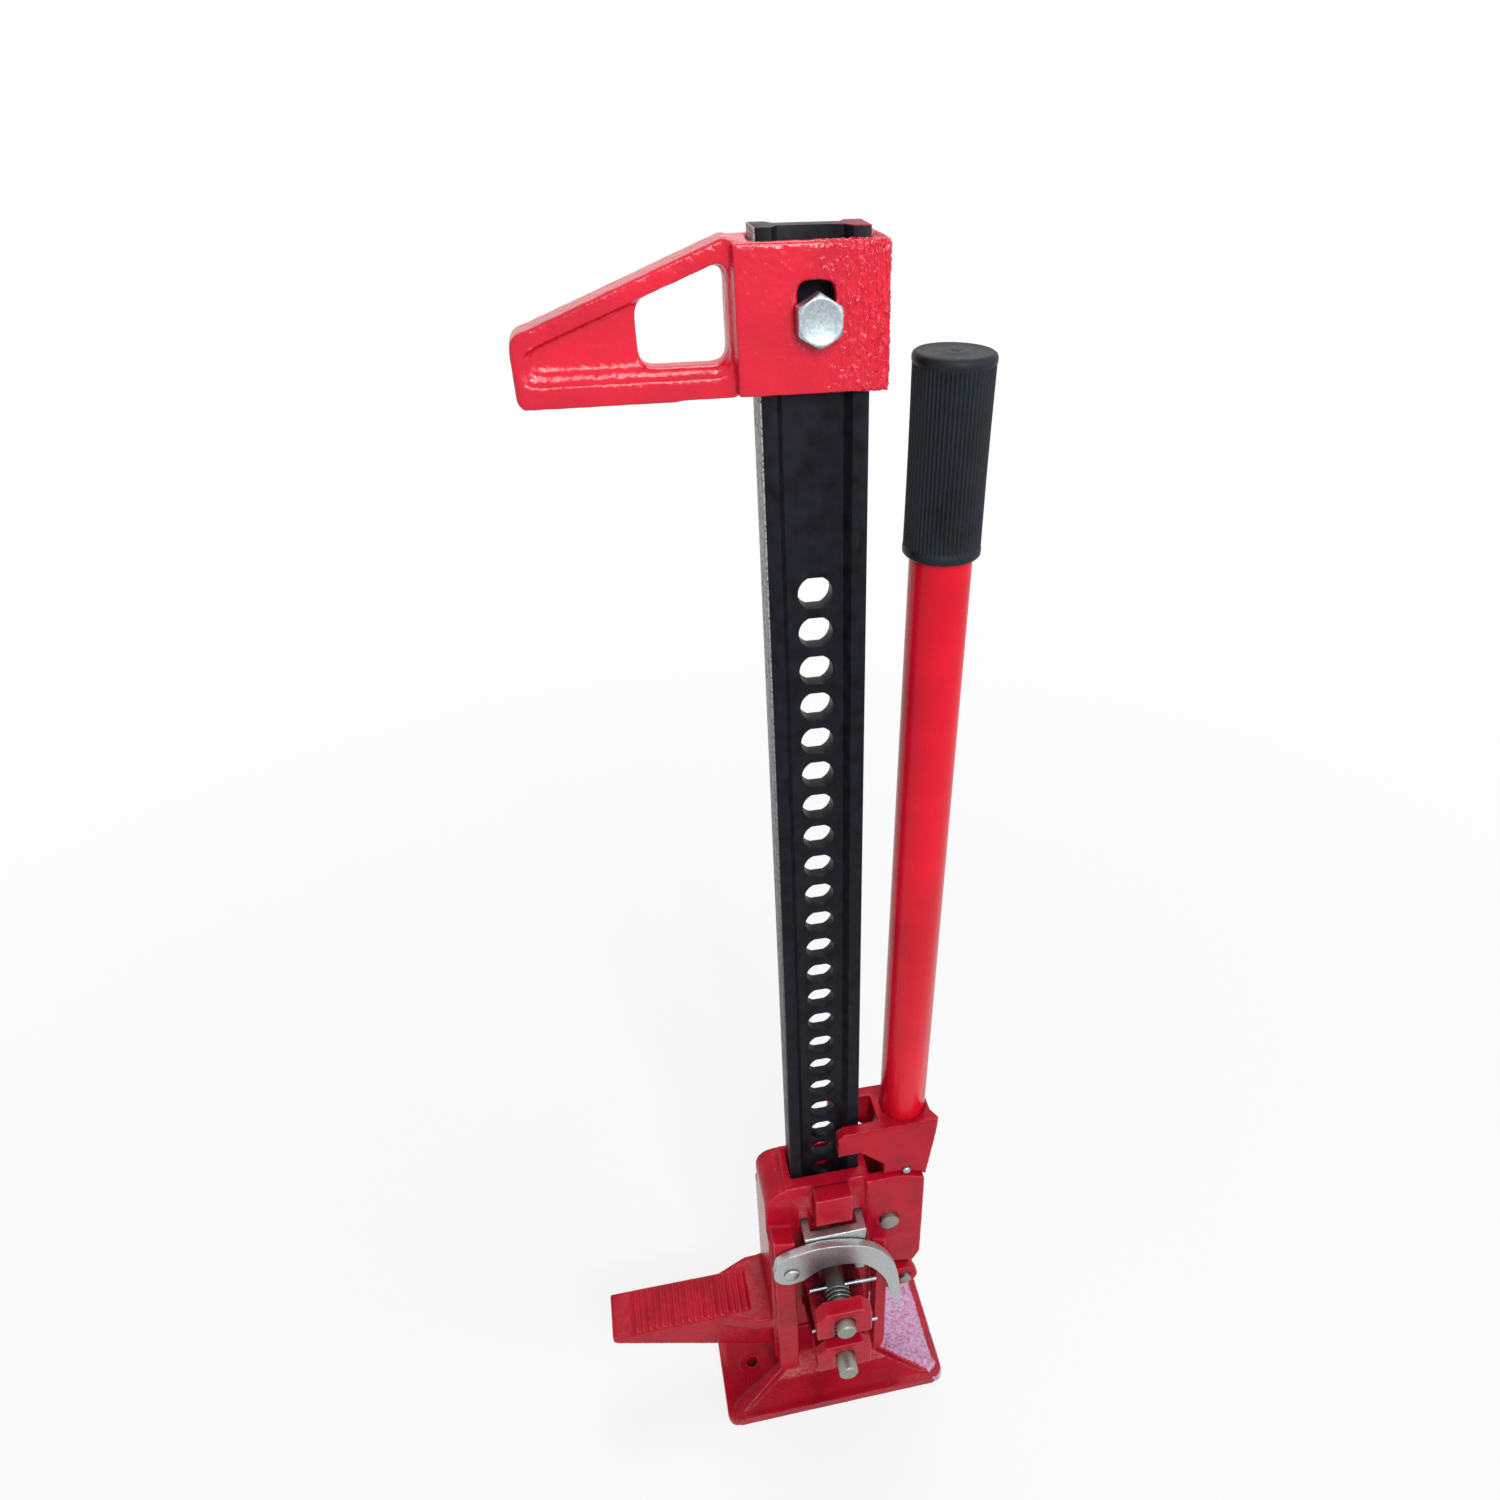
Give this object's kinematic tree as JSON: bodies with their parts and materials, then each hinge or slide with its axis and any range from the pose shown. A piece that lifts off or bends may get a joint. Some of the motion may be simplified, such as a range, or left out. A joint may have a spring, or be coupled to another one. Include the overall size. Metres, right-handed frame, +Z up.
{
  "type": "high lift jack",
  "caption": "Upright rack jack: cast base, perforated steel bar, climbing runner with a ribbed lifting nose, sprung climbing pins, pump handle and a clamp on top of the bar.",
  "frame": {"origin": "on the floor, in the base's underside, under the bar's axis", "axes": "+Z up along the bar, +X to the handle's side (the nose points to -X), -Y the front with the climbing pins"},
  "size_m": [0.2585, 0.149, 0.842],
  "materials": {
    "red_paint": "glossy red paint over a coarse sand casting",
    "black_paint": "satin black paint over rolled steel",
    "grip_rubber": "matte moulded rubber with fine ribs",
    "zinc_plate": "bright zinc plate",
    "pin_steel": "dull plated steel"
  },
  "bodies": {
    "rack": {"bar": "black_paint", "base_plate": "red_paint", "foot_pin": "zinc_plate", "top_clamp": "red_paint", "clamp_bolt": "zinc_plate", "clamp_nut": "zinc_plate"},
    "lower_carriage": {"small_runner": "red_paint", "link_lower_pin": "pin_steel", "link_lower_split_pin": "zinc_plate", "lower_pin_spring": "pin_steel"},
    "upper_carriage": {"large_runner": "red_paint", "pivot_pin": "pin_steel", "pivot_split_pin": "zinc_plate", "lever_rivet": "zinc_plate", "stirrup": "zinc_plate", "upper_pin_spring": "pin_steel"},
    "lower_pin": {"lower_climbing_pin": "pin_steel", "lower_cross_rod": "zinc_plate"},
    "upper_pin": {"upper_climbing_pin": "pin_steel", "upper_cross_rod": "zinc_plate"},
    "lever": {"reversing_lever": "zinc_plate"},
    "handle": {"handle_socket": "red_paint", "handle_tube": "red_paint", "hand_grip": "grip_rubber", "socket_pin": "zinc_plate", "link_upper_pin": "pin_steel"},
    "link_arm": {"link": "red_paint"}
  },
  "joints": [
    {"name": "climb", "type": "slide", "parent": "rack", "child": "lower_carriage", "axis": [0, 0, 1], "range_m": [0, 0.4664]},
    {"name": "step", "type": "slide", "parent": "lower_carriage", "child": "upper_carriage", "axis": [0, 0, 1], "range_m": [0, 0.0213]},
    {"name": "handle_pump", "type": "hinge", "parent": "upper_carriage", "child": "handle", "pos_m": [0.0458, 0, 0.1877], "axis": [0, 1, 0], "range_deg": [0, 70]},
    {"name": "link_swing", "type": "hinge", "parent": "handle", "child": "link_arm", "pos_m": [0.06094, 0, 0.1983], "axis": [0, 1, 0], "range_deg": [-71, 0]},
    {"name": "lower_pin_in", "type": "slide", "parent": "lower_carriage", "child": "lower_pin", "axis": [0, 1, 0], "range_m": [0, 0.019], "deforming": ["lower_pin_spring"]},
    {"name": "upper_pin_in", "type": "slide", "parent": "upper_carriage", "child": "upper_pin", "axis": [0, 1, 0], "range_m": [0, 0.012], "deforming": ["upper_pin_spring"]},
    {"name": "lever_turn", "type": "hinge", "parent": "upper_carriage", "child": "lever", "pos_m": [-0.0325, -0.042, 0.1757], "axis": [0, -1, 0], "range_deg": [0, 28]}
  ],
  "couplings": [
    {"joint": "step", "follows": "handle_pump", "m_per_rad": 0.017352},
    {"joint": "link_swing", "follows": "handle_pump", "ratio": -1}
  ]
}
